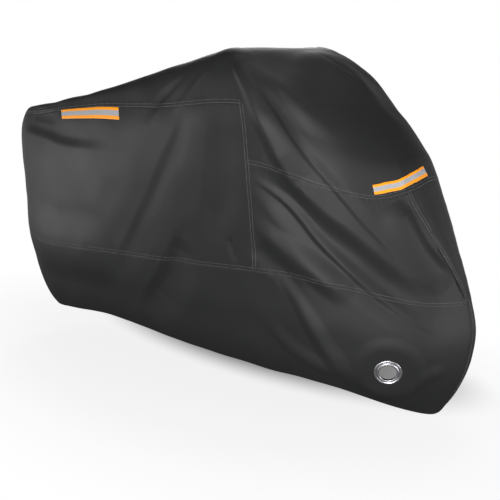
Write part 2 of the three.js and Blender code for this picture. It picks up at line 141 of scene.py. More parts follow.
# Shares of a fold's height at its two ends and how fast they grow over its length, how fast it widens,
# and the shape of a sharp crest; "stops" is the pieces of its path
foldShape = {"stops": 24, "first": 0.15, "rise": 5, "last": 0.05, "fall": 4, "widen": 2,
             "crestRound": 0.05, "crestPower": 1.7}

# The slack of the cloth: long soft waves, in metres
slack = {"height": 0.0005, "longest": 0.26, "shortest": 0.08, "waves": 16, "seed": 7}

# Small puckers along each seam, in metres. Two more waves run along it, given by their turns to one of the
# first and their share of its height, and the slanted one also by metres across. They fade at a seam's end.
pucker = {
    "height": 0.0003, "wave": 0.028, "reach": 0.022, "perRib": 0.27, "perLevel": 0.2,
    "second": (0.618, 0.7), "slanted": (1.73, 0.5, 0.01), "endShare": 0.2, "endRise": 8,
}

# A lapped seam, in metres. The upper cloth runs "lap" over the lower one and is raised up to "bandFade" past
# the lap, and its edge curls down by the share "curl" over "edge". The lower cloth sinks under it, and is
# back up "sinkFade" after the lap less "sinkLead". Two rows of stitches lie "rows" to each side, in grooves.
# No seam is felt beyond "reach", or more than "margin" ribs or levels past its ends.
seamSize = {
    "lap": 0.0065, "raise": 0.0003, "sink": 0.0005, "rows": 0.0047, "groove": 0.0002, "grooveWidth": 0.0013,
    "bandFade": 0.006, "curl": 0.7, "edge": 0.0012, "sinkLead": 0.0005, "sinkFade": 0.0035, "reach": 0.03,
    "margin": 0.035,
}


def shapeNet():
    right = np.array(coverForm["ribs"], float) * (1, -1, 1)
    net = np.concatenate([right, right[-2:0:-1] * (1, -1, 1)])
    over = net[:, 1] * (-1, -1, 1)
    over[:, 0] += 2 * net[:, 0, 0]
    fall = net[:, -1] - net[:, -2]
    inwards = fall * (1, 1, 0)
    inwards /= np.linalg.norm(inwards, axis=1, keepdims=True)
    under = net[:, -1] + fall + inwards * coverForm["hemDraw"]
    net = np.concatenate([over[:, None], net, under[:, None]], axis=1)
    return (net - (0, 0, coverForm["topHeight"])) * mm


net = shapeNet()


def smoothWeights(t):
    return np.stack([
        -0.5 * t + t ** 2 - 0.5 * t ** 3,
        1 - 2.5 * t ** 2 + 1.5 * t ** 3,
        0.5 * t + 2 * t ** 2 - 1.5 * t ** 3,
        -0.5 * t ** 2 + 0.5 * t ** 3,
    ], axis=-1)


def formPoint(u, v):
    u, v = np.broadcast_arrays(np.asarray(u, float), np.asarray(v, float))
    rib = np.floor(u).astype(int)
    level = np.clip(np.floor(v).astype(int), 0, hem - 1)
    alongWeights, downWeights = smoothWeights(u - rib), smoothWeights(v - level)
    total = np.zeros(u.shape + (3,))
    for i in range(4):
        for j in range(4):
            weight = alongWeights[..., i] * downWeights[..., j]
            total += weight[..., None] * net[(rib + i - 1) % ring, level + j]
    return total


def tent(x):
    return np.maximum(0, 1 - np.abs(x))


def smoothStep(t):
    t = np.clip(t, 0, 1)
    return t * t * (3 - 2 * t)


# The lines of the cloth, which run in towards the nose with its seams
def basePoint(u, v):
    u, v = np.broadcast_arrays(np.asarray(u, float), np.asarray(v, float))
    turn = u % ring
    drift = np.interp(v, *coverForm["noseDrift"])
    return formPoint(u + drift * (tent(turn - noseSeam) - tent(turn - leftNose)), v)


def lengths(vectors):
    return np.linalg.norm(vectors, axis=-1)


def unit(vectors):
    return vectors / np.maximum(lengths(vectors)[..., None], 1e-12)


# Metres walked to each point of a line
def walkAlong(points):
    return np.concatenate([[0], np.cumsum(lengths(np.diff(points, axis=0)))])


def tangents(pointAt, u, v, step=1e-3):
    along = unit(pointAt(u + step, v) - pointAt(u - step, v))
    down = unit(pointAt(u, v + step) - pointAt(u, np.maximum(v - step, 0)))
    return along, down, unit(np.cross(down, along))


# Metres of cloth for one rib and for one level
def stretches(u, v, step=1e-3):
    along = lengths(basePoint(u + step, v) - basePoint(u - step, v)) / (2 * step)
    down = lengths(basePoint(u, v + step) - basePoint(u, v - step)) / (2 * step)
    return along, down


def centripetal(stops, count):
    stops = np.array(stops, float)
    stops = np.concatenate([[2 * stops[0] - stops[1]], stops, [2 * stops[-1] - stops[-2]]])
    share = np.linspace(0, len(stops) - 3, count + 1)
    points = []
    for s in share:
        i = min(int(s), len(stops) - 4)
        a, b, c, d = stops[i:i + 4]
        gaps = [max(np.linalg.norm(q - p) ** 0.5, 1e-4) for p, q in ((a, b), (b, c), (c, d))]
        first = ((b - a) / gaps[0] - (c - a) / (gaps[0] + gaps[1]) + (c - b) / gaps[1]) * gaps[1]
        last = ((c - b) / gaps[1] - (d - b) / (gaps[1] + gaps[2]) + (d - c) / gaps[2]) * gaps[1]
        t = s - i
        points.append(b + first * t + (3 * (c - b) - 2 * first - last) * t ** 2
                      + (2 * (b - c) + first + last) * t ** 3)
    return np.array(points)


for fold in folds:
    stops = centripetal(fold["at"], foldShape["stops"])
    fold["path"] = formPoint(stops[:, 0], stops[:, 1])


def foldHeight(fold, points, normals):
    path, reach = fold["path"], max(fold["left"], fold["right"]) * mm
    heights = np.zeros(len(points))
    near = np.all((points > path.min(0) - reach) & (points < path.max(0) + reach), axis=1)
    if not near.any():
        return heights
    point, normal = points[near][:, None], normals[near]
    walk = path[1:] - path[:-1]
    part = np.clip(((point - path[:-1]) * walk).sum(-1) / (walk ** 2).sum(-1), 0, 1)
    across = point - path[:-1] - part[..., None] * walk
    far = lengths(across)
    best = far.argmin(1)
    rows = np.arange(len(best))
    far = far[rows, best]
    share = (best + part[rows, best]) / len(walk)
    turn = (np.cross(walk[best], across[rows, best]) * normal).sum(-1)
    grow = fold["start"] + (1 - fold["start"]) * np.minimum(1, share * foldShape["widen"])
    width = np.where(turn > 0, fold["left"], fold["right"]) * mm * grow
    rising = foldShape["first"] + foldShape["rise"] * share
    falling = foldShape["last"] + foldShape["fall"] * (1 - share)
    fade = np.minimum(1, np.minimum(rising, falling))
    r = np.minimum(far / width, 1)
    soft = foldShape["crestRound"]
    slope = (np.sqrt(r ** 2 + soft ** 2) - soft) / (np.sqrt(1 + soft ** 2) - soft)
    sharp = (1 - slope) ** foldShape["crestPower"]
    shape = (1 - fold["crest"]) * (1 - r ** 2) ** 2 + fold["crest"] * sharp
    heights[near] = fold["height"] * mm * grow * fade * shape
    return heights


wavePicker = np.random.default_rng(slack["seed"])
waveTurns = unit(wavePicker.normal(size=(slack["waves"], 3)))
waveLengths = wavePicker.uniform(slack["shortest"], slack["longest"], slack["waves"])
wavePhases = wavePicker.uniform(0, 2 * math.pi, slack["waves"])


def slackHeight(points):
    phase = points @ (waveTurns * (2 * math.pi / waveLengths)[:, None]).T + wavePhases
    size = waveLengths / slack["longest"]
    return slack["height"] * (np.sin(phase) * size).sum(-1)


# The seams: along a level from rib to rib, or down a rib from level to level
seams = {
    "eave": dict(level=eave, ribs=(leftSide, ring + side)),
    "yoke": dict(level=yoke, ribs=(side, leftSide)),
    "belt": dict(level=belt, ribs=(0, ring)),
    "sideRight": dict(rib=side, levels=(eave, belt)),
    "sideLeft": dict(rib=leftSide, levels=(eave, belt)),
    "noseRight": dict(rib=noseSeam, levels=(yoke, belt)),
    "noseLeft": dict(rib=leftNose, levels=(yoke, belt)),
    "tailLow": dict(rib=tail, levels=(belt, hem)),
    "noseLow": dict(rib=nose, levels=(belt, hem)),
    "tailLowAgain": dict(rib=ring, levels=(belt, hem)),  # the tail's seam, met from the left
}
seamSteps = 60  # places in a rib or a level where the cloth along a seam is measured

for seam in seams.values():
    if "level" in seam:
        seam["places"] = np.linspace(0, ring, seamSteps * ring + 1)
        seam["stretch"] = stretches(seam["places"], seam["level"])[1]
    else:
        seam["places"] = np.linspace(0, hem, seamSteps * hem + 1)
        seam["stretch"] = stretches(seam["rib"], seam["places"])[0]


# Metres from the seam, towards the hem or the next rib
def seamFar(u, v, seam):
    if "level" in seam:
        return (v - seam["level"]) * np.interp(u % ring, seam["places"], seam["stretch"])
    return (u - seam["rib"]) * np.interp(v, seam["places"], seam["stretch"])


# Where a place lies along the run of a seam, and where that starts and ends
def seamRun(u, v, seam, margin):
    if "level" in seam:
        low, high = seam["ribs"]
        return np.where(u < low - margin, u + ring, u), low, high
    return v, *seam["levels"]


def puckerHeight(u, v):
    total = np.zeros(u.shape)
    turns, share = pucker["second"]
    slantTurns, slantShare, slantAcross = pucker["slanted"]
    for n, seam in enumerate(seams.values()):
        far = seamFar(u, v, seam)
        place, low, high = seamRun(u, v, seam, 0)
        perPlace = pucker["perRib" if "level" in seam else "perLevel"]
        inside = np.clip(np.minimum(place - low, high - place) * pucker["endRise"] + pucker["endShare"], 0, 1)
        phase = 2 * math.pi * place * perPlace / pucker["wave"]
        wave = (np.sin(phase + n) + share * np.sin(phase * turns + 2 * n)
                + slantShare * np.sin(phase * slantTurns + far / slantAcross))
        total += inside * np.exp(-np.abs(far) / pucker["reach"]) * wave
    return pucker["height"] * total


def foldedPoint(u, v):
    u, v = np.broadcast_arrays(np.asarray(u, float), np.asarray(v, float))
    flatU, flatV = u.ravel(), v.ravel()
    points = basePoint(flatU, flatV)
    normals = tangents(basePoint, flatU, flatV)[2]
    heights = sum(foldHeight(fold, points, normals) for fold in folds)
    heights = heights + slackHeight(points) + puckerHeight(flatU, flatV)
    heights *= np.minimum(1, np.maximum(flatV, 0) / coverForm["smoothTop"])
    return (points + normals * heights[:, None]).reshape(u.shape + (3,))


# Metres round the middle of an eyelet: the cloth lies flat up to "flat", and has all its folds again from
# "blend" on. "face" is the highest ring over the cloth, and "profile" is the eyelet's outline in mm, as
# radius and height over the cloth.
eyeletSize = {
    "flat": 0.074, "blend": 0.120, "clothHole": 0.0295, "face": 0.0046, "turns": 96,
    "profile": [(26, -3.2), (26.8, -3.8), (32.2, -3.8), (33, -3.2), (32.6, -2.5), (28.6, -2.3), (28.4, 0.2),
                (41.4, 0.25), (42, 0.8), (41.9, 1.4), (41.2, 2.2), (39.8, 2.9), (38, 3.1), (36.4, 2.7),
                (35.2, 1.6), (34.3, 1.2), (33.4, 1.8), (32.6, 3.4), (31.4, 4.5), (29.6, 4.8), (27.8, 4.5),
                (26.6, 3.7), (26, 2.4)],
}
eyelets = {}
for name in ("eyelet_right", "eyelet_left"):
    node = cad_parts[name]
    spots = np.array([node.matrix_world @ corner.co for corner in node.data.vertices])
    spots = np.unique(np.round(spots, 6), axis=0)
    middle = (spots.min(0) + spots.max(0)) / 2
    axes = np.linalg.svd(spots - spots.mean(0), full_matrices=False)[2]
    normal = axes[2] * np.sign(axes[2] @ (0, middle[1], 0))
    highest = ((spots - middle) @ normal).max()
    eyelets[name] = {"flatCentre": middle + normal * (highest - eyeletSize["face"]), "normal": normal}


def clothPoint(u, v):
    point = foldedPoint(u, v)
    for eyelet in eyelets.values():
        centre, normal = eyelet["flatCentre"], eyelet["normal"]
        far = lengths(point - centre)
        blend = 1 - smoothStep((far - eyeletSize["flat"]) / (eyeletSize["blend"] - eyeletSize["flat"]))
        point = point - normal * (((point - centre) @ normal) * blend)[..., None]
    return point


print("cover form ready")


# Sheets of cloth. A line is (place, shift): a rib or level, and metres of cloth from it.
# Beside a seam, the lines lie these mm inside the panel, where its cloth is the upper or the lower one.
edgeShifts = {
    "over": [-6.5, -6.2, -5.5, -4.5, -3.2, -1.6, 0, 1.6, 3.2, 4.5, 5.8, 8, 11],
    "under": [-6.5, -2, 2, 5, 6.2, 6.6, 7.2, 8.4, 10.5],
}
edgeGap = 0.0125  # metres from a seam to the first line past its edge lines
lineSteps = 1200  # places where a line of cloth is measured


def edgeLines(place, kind, inwards):
    lines = [(place, inwards * shift * mm) for shift in edgeShifts[kind]]
    return lines if inwards > 0 else lines[::-1]


# Places between first and last, a cell of cloth apart, gaps metres in from the ends
def innerLines(first, last, cell, pointAt, gaps):
    places = np.linspace(first, last, lineSteps)
    points = pointAt(places)
    walked = walkAlong(points)
    length = walked[-1] - sum(gaps)
    count = max(int(round(length / (cell * mm))), 1)
    stops = np.linspace(gaps[0], walked[-1] - gaps[1], count + 1)
    return [(float(np.interp(s, walked, places)), 0.0) for s in stops]


# The rib and level of every crossing of the lines
def spread(columns, rows):
    ribAt, ribShift = np.array(columns).T
    levelAt, levelShift = np.array(rows).T
    u, v = np.meshgrid(ribAt, levelAt, indexing="ij")
    shiftU, shiftV = np.meshgrid(ribShift, levelShift, indexing="ij")
    alongRib, _ = stretches(u, v)
    _, downLevel = stretches(u + shiftU / alongRib, v)
    return u + shiftU / alongRib, v + shiftV / downLevel


def gridNormals(points, closed):
    if closed:
        points = np.concatenate([points[-1:], points, points[:1]])
    along = np.gradient(points, axis=0)
    down = np.gradient(points, axis=1)
    normals = unit(np.cross(down, along))
    return normals[1:-1] if closed else normals


# Height of the upper cloth, far metres inside its seam; its edge is at -lap
def overRelief(far):
    lap, rows, width = seamSize["lap"], seamSize["rows"], seamSize["grooveWidth"]
    band = seamSize["raise"] * (1 - smoothStep((far - lap) / seamSize["bandFade"]))
    turned = (seamSize["raise"] + seamSize["sink"]) * seamSize["curl"]
    curl = -turned * (1 - smoothStep((far + lap) / seamSize["edge"]))
    grooves = sum(np.exp(-((far - row) / width) ** 2) for row in (-rows, rows))
    return band + curl - seamSize["groove"] * grooves


# Height of the lower cloth, far metres inside its seam; the upper cloth ends at +lap
def underRelief(far):
    past = far - seamSize["lap"] + seamSize["sinkLead"]
    return -seamSize["sink"] * (1 - smoothStep(past / seamSize["sinkFade"]))


def placeObject(name, data):
    placed = bpy.data.objects.new(name, data)
    bpy.context.scene.collection.objects.link(placed)
    return placed


def solidPiece(name, points, faces, material):
    mesh = bpy.data.meshes.new(name)
    mesh.from_pydata(points, [], faces)
    mesh.shade_smooth()
    mesh.materials.append(material)
    return placeObject(name, mesh)


# The four corners of every cell, from one line to the line after it
def cellCorners(lines, after):
    return np.stack([lines[:, :-1], lines[:, 1:], after[:, 1:], after[:, :-1]], axis=2)


# A sheet through a grid of points. A closed one runs all round, and its halves share the ridge.
def meshPiece(name, points, cells, weave, material, closed=False):
    across, downCount = points.shape[:2]
    index = np.arange(across * downCount).reshape(across, downCount)
    after = np.roll(weave, -1, axis=0)
    keep = cells.copy()
    if closed:
        for i in range(across // 2 + 1, across):
            index[i, 0] = index[across - i, 0]
        after[-1, :, 0] = 2 * weave[-1, :, 0] - weave[-2, :, 0]
    else:
        keep[-1] = False
    faces = cellCorners(index, np.roll(index, -1, axis=0))[keep]
    corners = cellCorners(weave, after)[keep]
    used, packed = np.unique(faces, return_inverse=True)
    faces = packed.reshape(faces.shape).tolist()
    distinct = [[k for k, corner in enumerate(face) if face.index(corner) == k] for face in faces]
    cleanFaces = [[face[k] for k in kept] for face, kept in zip(faces, distinct)]
    piece = solidPiece(name, points.reshape(-1, 3)[used].tolist(), cleanFaces, material)
    uv = piece.data.uv_layers.new(name="weave")
    places = [corner[k] for corner, kept in zip(corners.tolist(), distinct) for k in kept]
    uv.data.foreach_set("uv", np.array(places).ravel())
    return piece


# A panel through its lines: the seams where it lies over or under the next one, the cells to keep, and
# the eyelet that goes through it
def clothPiece(name, columns, rows, overSeams, underSeams, cellsKept=None, closed=False, eyelet=None):
    u, v = spread(columns, rows)
    points = clothPoint(u, v)
    normals = gridNormals(points, closed)
    if closed:
        normals[:, 0] = unit(normals[:, 0] * (1, 0, 1))
    height = np.zeros(u.shape)
    for met, relief in ((overSeams, overRelief), (underSeams, underRelief)):
        for seam, inwards in met:
            far = inwards * seamFar(u, v, seam)
            near = (far < seamSize["reach"]) & seamSpan(u, v, seam)
            height = np.where(near, height + relief(far), height)
    points = points + normals * height[..., None]
    alongWeave = walkAlong(points.mean(1))
    downWeave = np.cumsum(lengths(np.diff(points, axis=1, prepend=points[:, :1])), axis=1)
    if eyelet is not None:
        points = turnedHem(points, normals)
        extra = np.arange(1, points.shape[1] - u.shape[1] + 1)
        downWeave = np.concatenate([downWeave, downWeave[:, -1:] + hemSize["weaveStep"] * extra], axis=1)
    weave = np.stack(np.broadcast_arrays(alongWeave[:, None], downWeave), axis=-1)
    cells = np.ones((points.shape[0], points.shape[1] - 1), bool)
    if cellsKept is not None:
        cells &= cellsKept(u[:, :-1], (v[:, :-1] + v[:, 1:]) / 2)
    if eyelet is not None:
        cutRound(points, cells, eyelet)
    return meshPiece(name, points, cells, weave, clothLooks, closed)


# The round hole under an eyelet: cells inside it go, and its rim is drawn out to the circle
def cutRound(points, cells, eyelet):
    hole = eyeletSize["clothHole"]
    far = points - eyelet["flatCentre"]
    flat = far - (far @ eyelet["normal"])[..., None] * eyelet["normal"]
    radius = np.maximum(lengths(flat), 1e-6)
    inside = (radius < hole) & (lengths(far) < 2 * hole)
    across = inside & np.roll(inside, -1, axis=0)
    cells &= ~(across[:, :-1] & across[:, 1:])
    points[inside] += flat[inside] * (hole / radius[inside] - 1)[:, None]


# Whether a place lies beside the seam, and not past its ends
def seamSpan(u, v, seam):
    margin = seamSize["margin"]
    place, low, high = seamRun(u, v, seam, margin)
    return (place > low - margin) & (place < high + margin)


hemSize = {"thickness": 0.0022, "depth": 0.020, "turnRows": 4, "rows": 6, "weaveStep": 0.004}


# The cloth turned inwards and up again along the hem
def turnedHem(points, normals):
    edge, inward = points[:, -1], -normals[:, -1]
    downwards = unit(points[:, -1] - points[:, -3])
    half = hemSize["thickness"] / 2
    turned = [edge + inward * half * (1 - math.cos(a)) + downwards * half * math.sin(a)
              for a in np.linspace(0, math.pi, hemSize["turnRows"] + 1)[1:]]
    walked = np.cumsum(lengths(np.diff(points[:, ::-1], axis=1)), axis=1)
    inside = []
    for k in range(1, hemSize["rows"] + 1):
        depth = hemSize["depth"] * k / hemSize["rows"]
        row = np.array([(w < depth).sum() for w in walked])
        picked = np.arange(len(row))
        before = np.where(row > 0, walked[picked, row - 1], 0)
        t = ((depth - before) / (walked[picked, row] - before))[:, None]
        spot = points[picked, -1 - row] * (1 - t) + points[picked, -2 - row] * t
        inside.append(spot - normals[picked, -1 - row] * hemSize["thickness"])
    return np.concatenate([points, np.stack(turned + inside, axis=1)], axis=1)


# Lines over half the ring, given from the tail to the nose, and the same on the left side
def mirrored(lines):
    return lines + [(ring - place, -shift) for place, shift in reversed(lines[1:-1])]


def acrossAt(level):
    return lambda places: basePoint(places, level)


def downAt(rib):
    return lambda places: basePoint(rib, places)


# Materials. A node's input is given as a value, or as the socket it is linked to.
def setInputs(tree, node, inputs):
    for name, value in inputs.items():
        if isinstance(value, bpy.types.NodeSocket):
            tree.links.new(value, node.inputs[name])
        else:
            node.inputs[name].default_value = value


def addNode(tree, kind, inputs, **settings):
    node = tree.nodes.new(kind)
    for name, value in settings.items():
        setattr(node, name, value)
    setInputs(tree, node, inputs)
    return node


def newMaterial(name):
    material = bpy.data.materials.new(name)
    material.use_nodes = True
    return material, material.node_tree, material.node_tree.nodes["Principled BSDF"]


def ownPlace(tree):
    return addNode(tree, "ShaderNodeTexCoord", {}).outputs["Object"]


def ownWeave(tree):
    return addNode(tree, "ShaderNodeUVMap", {}, uv_map="weave").outputs["UV"]


def grainNode(tree, grain):
    return addNode(tree, "ShaderNodeTexNoise", {"Vector": ownPlace(tree), **grain}).outputs["Fac"]


def colourNode(tree, share, first, second):
    mix = addNode(tree, "ShaderNodeMixRGB", {"Fac": share, "Color1": first, "Color2": second})
    return mix.outputs["Color"]


def mathNode(tree, operation, *values):
    return addNode(tree, "ShaderNodeMath", dict(enumerate(values)), operation=operation).outputs["Value"]


def rangeNode(tree, value, ends, kind="LINEAR"):
    node = addNode(tree, "ShaderNodeMapRange", {"Value": value, **ends}, interpolation_type=kind)
    return node.outputs["Result"]


# The colour a share darker, and the same share lighter
def shades(colour, share):
    return [[c * (1 + change) for c in colour] + [1] for change in (-share, share)]


clothLook = {
    "colour": (0.0085, 0.0087, 0.0090), "tint": 0.06, "roughness": 0.58, "mottle": 0.06, "specular": 0.20,
    "grain": {"Scale": 5, "Detail": 5}, "thread": 0.0009, "weaveBump": 0.12, "weaveDepth": 0.0002,
}


def clothMaterial():
    material, tree, shader = newMaterial("coverCloth")
    look = clothLook
    weave = ownWeave(tree)
    scale = math.pi / 10 / look["thread"]  # at scale 1, a wave is pi / 10 metres long
    threads = [addNode(tree, "ShaderNodeTexWave", {"Vector": weave, "Scale": scale}, bands_direction=way)
               for way in ("X", "Y")]
    crossing = mathNode(tree, "MULTIPLY", *[thread.outputs["Fac"] for thread in threads])
    bump = addNode(tree, "ShaderNodeBump", {"Strength": look["weaveBump"], "Distance": look["weaveDepth"],
                                            "Height": crossing})
    mottle = grainNode(tree, look["grain"])
    rough = {"To Min": look["roughness"] - look["mottle"], "To Max": look["roughness"] + look["mottle"]}
    setInputs(tree, shader, {
        "Base Color": colourNode(tree, mottle, *shades(look["colour"], look["tint"])),
        "Roughness": rangeNode(tree, mottle, rough),
        "Specular IOR Level": look["specular"],
        "Normal": bump.outputs["Normal"],
    })
    return material


threadLook = {"dark": (0.085, 0.085, 0.088, 1), "light": (0.165, 0.165, 0.17, 1), "roughness": 0.6,
              "grain": {"Scale": 400}}


def threadMaterial():
    material, tree, shader = newMaterial("stitchThread")
    grain = grainNode(tree, threadLook["grain"])
    setInputs(tree, shader, {
        "Base Color": colourNode(tree, grain, threadLook["dark"], threadLook["light"]),
        "Roughness": threadLook["roughness"],
    })
    return material


steelLook = {"dark": (0.28, 0.28, 0.30, 1), "light": (0.40, 0.40, 0.42, 1),
             "roughness": {"To Min": 0.34, "To Max": 0.46}, "grain": {"Scale": 180, "Detail": 6}}


def steelMaterial():
    material, tree, shader = newMaterial("eyeletSteel")
    grain = grainNode(tree, steelLook["grain"])
    setInputs(tree, shader, {
        "Metallic": 1,
        "Base Color": colourNode(tree, grain, steelLook["dark"], steelLook["light"]),
        "Roughness": rangeNode(tree, grain, steelLook["roughness"]),
    })
    return material


# "band" is each orange edge's share of the strip's width
tapeLook = {"orange": (0.60, 0.205, 0.008, 1), "grey": (0.225, 0.225, 0.23), "sparkle": 0.15, "beads": 500,
            "band": 0.27, "roughness": 0.45, "specular": 0.15}


def tapeMaterial():
    material, tree, shader = newMaterial("reflectiveTape")
    split = addNode(tree, "ShaderNodeSeparateXYZ", {"Vector": ownWeave(tree)})
    away = mathNode(tree, "ABSOLUTE", mathNode(tree, "SUBTRACT", split.outputs["Y"], 0.5))
    edge = mathNode(tree, "GREATER_THAN", away, 0.5 - tapeLook["band"])
    beads = addNode(tree, "ShaderNodeTexVoronoi", {"Vector": ownPlace(tree), "Scale": tapeLook["beads"]})
    silver = colourNode(tree, beads.outputs["Distance"], *shades(tapeLook["grey"], tapeLook["sparkle"]))
    setInputs(tree, shader, {
        "Base Color": colourNode(tree, edge, silver, tapeLook["orange"]),
        "Roughness": tapeLook["roughness"],
        "Specular IOR Level": tapeLook["specular"],
    })
    return material


clothLooks = clothMaterial()
threadLooks = threadMaterial()
steelLooks = steelMaterial()
tapeLooks = tapeMaterial()


# The panels. Each has cells of this many mm, evenly spaced on the levels and ribs that it names.
topSize = {
    "cell": 5.2, "backLevel": 1.8, "frontLevel": 2.4, "upperRib": 4.6, "lowerRib": 5.5,
    # mm from the side seams and from the eave, where the panel's edge turns a corner
    "sideShifts": (-8, -6.5, -6.2, -5.5, -4.5, -3.2, -1.6, 0, 1.6, 3.2, 4.5, 5.8, 8),
    "eaveShifts": (-8, -5.8, -4.5, -3.2, -1.6, 0, 1.6, 3.2, 4.5, 5.5, 6.2, 6.5, 8),
}


def topPanel():
    size, cell, lap = topSize, topSize["cell"], seamSize["lap"]
    columns = mirrored(innerLines(0, side, cell, acrossAt(size["backLevel"]), (0, edgeGap))
                       + [(side, shift * mm) for shift in size["sideShifts"]]
                       + innerLines(side, nose, cell, acrossAt(size["frontLevel"]), (edgeGap, 0)))
    rows = (innerLines(0, eave, cell, downAt(size["upperRib"]), (0, edgeGap))
            + [(eave, shift * mm) for shift in size["eaveShifts"]]
            + innerLines(eave, yoke, cell, downAt(size["lowerRib"]), (edgeGap, edgeGap))
            + edgeLines(yoke, "over", -1))

    def kept(u, v):
        middle = (u + np.roll(u, -1, axis=0)) / 2
        right = seamFar(middle, v, seams["sideRight"]) > -lap
        left = -seamFar(middle, v, seams["sideLeft"]) > -lap
        return (seamFar(middle, v, seams["eave"]) < lap) | (right & left)

    overs = [(seams["eave"], -1), (seams["yoke"], -1), (seams["sideRight"], 1), (seams["sideLeft"], -1)]
    return clothPiece("topPanel", columns, rows, overs, [], kept, closed=True)


# Lines from one seam to the next, where the panel's cloth is the upper or the lower one
def betweenSeams(first, last, kinds, cell, pointAt):
    return (edgeLines(first, kinds[0], 1) + innerLines(first, last, cell, pointAt, (edgeGap, edgeGap))
            + edgeLines(last, kinds[1], -1))


rearSize = {"cell": 4.8, "level": 3, "rib": 4}


def rearSidePanel():
    cell = rearSize["cell"]
    columns = betweenSeams(leftSide, ring + side, ("under", "under"), cell, acrossAt(rearSize["level"]))
    rows = betweenSeams(eave, belt, ("under", "over"), cell, downAt(rearSize["rib"]))
    rightAgain = dict(seams["sideRight"], rib=ring + side)
    return clothPiece("rearSidePanel", columns, rows, [(seams["belt"], -1)],
                      [(seams["eave"], 1), (seams["sideLeft"], 1), (rightAgain, -1)])


frontSize = {"cell": 3.6, "sideLevel": 3.5, "noseLevel": 3.2}


# Columns and rows of a panel between the yoke and the belt
def frontLines(first, last, kinds, level):
    cell = frontSize["cell"]
    columns = betweenSeams(first, last, kinds, cell, acrossAt(level))
    return columns, betweenSeams(yoke, belt, ("under", "over"), cell, downAt((first + last) / 2))


def frontSidePanel(name, first, last):
    right = first == side
    kinds = ("over", "under") if right else ("under", "over")
    columns, rows = frontLines(first, last, kinds, frontSize["sideLevel"])
    sideSeam = (seams["sideRight"], 1) if right else (seams["sideLeft"], -1)
    noseSide = (seams["noseRight"], -1) if right else (seams["noseLeft"], 1)
    return clothPiece(name, columns, rows, [(seams["belt"], -1), sideSeam], [(seams["yoke"], 1), noseSide])


def nosePanel():
    columns, rows = frontLines(noseSeam, leftNose, ("over", "over"), frontSize["noseLevel"])
    overs = [(seams["belt"], -1), (seams["noseRight"], 1), (seams["noseLeft"], -1)]
    return clothPiece("nosePanel", columns, rows, overs, [(seams["yoke"], 1)])


skirtSize = {"cell": 5.2, "level": 4.6, "rib": 5}


def skirtHalf(name, first, last):
    cell = skirtSize["cell"]
    right = first == tail
    kind = "over" if right else "under"
    columns = betweenSeams(first, last, (kind, kind), cell, acrossAt(skirtSize["level"]))
    rows = edgeLines(belt, "under", 1) + innerLines(belt, hem, cell, downAt(skirtSize["rib"]), (edgeGap, 0))
    joins = [(seams["tailLow" if right else "tailLowAgain"], 1 if right else -1),
             (seams["noseLow"], -1 if right else 1)]
    overs, unders = (joins, []) if right else ([], joins)
    return clothPiece(name, columns, rows, overs, unders + [(seams["belt"], 1)],
                      eyelet=eyelets["eyelet_right" if right else "eyelet_left"])


pieces = {piece.name: piece for piece in (
    topPanel(),
    rearSidePanel(),
    frontSidePanel("frontSidePanelRight", side, noseSeam),
    frontSidePanel("frontSidePanelLeft", leftNose, leftSide),
    nosePanel(),
    skirtHalf("skirtHalfRight", tail, nose),
    skirtHalf("skirtHalfLeft", nose, ring),
)}
for piece in pieces.values():
    print(piece.name, len(piece.data.vertices), "points")


# The eyelets
def turnedRing(name, eyelet):
    profile, turns = eyeletSize["profile"], eyeletSize["turns"]
    centre = Vector(eyelet["flatCentre"])
    facing = Vector((0, 0, 1)).rotation_difference(Vector(eyelet["normal"])).to_matrix()
    angles = [2 * math.pi * k / turns for k in range(turns)]
    points = [centre + facing @ (Vector((r * math.cos(a), r * math.sin(a), z)) * mm)
              for r, z in profile for a in angles]
    faces = []
    for i in range(len(profile)):
        here, there = i * turns, (i + 1) % len(profile) * turns
        for k in range(turns):
            after = (k + 1) % turns
            faces.append((here + k, here + after, there + after, there + k))
    return solidPiece(name, points, faces, steelLooks)


pieces["eyeletRight"] = turnedRing("eyeletRight", eyelets["eyelet_right"])
pieces["eyeletLeft"] = turnedRing("eyeletLeft", eyelets["eyelet_left"])
print("eyelets ready")


# The reflective strips: mm along a cell, metres over the cloth, rows across, cells from edge to full height
stripSize = {"cell": 3.0, "height": 0.0012, "edge": 0.0003, "rows": 18, "slope": 1.5}
stripSpots = {
    # points of the top and bottom edges, as (rib, level)
    "rearStrip": {"top": [(2.38, 2.04), (3.35, 2.06)], "bottom": [(2.44, 2.33), (3.4, 2.36)]},
    "frontStrip": {"top": [(7.11, 2.82), (7.46, 2.8), (7.84, 2.82), (8.28, 2.78), (8.93, 2.77)],
                   "bottom": [(7.06, 2.965), (7.43, 2.955), (7.81, 2.97), (8.27, 2.945), (8.98, 2.95)]},
}


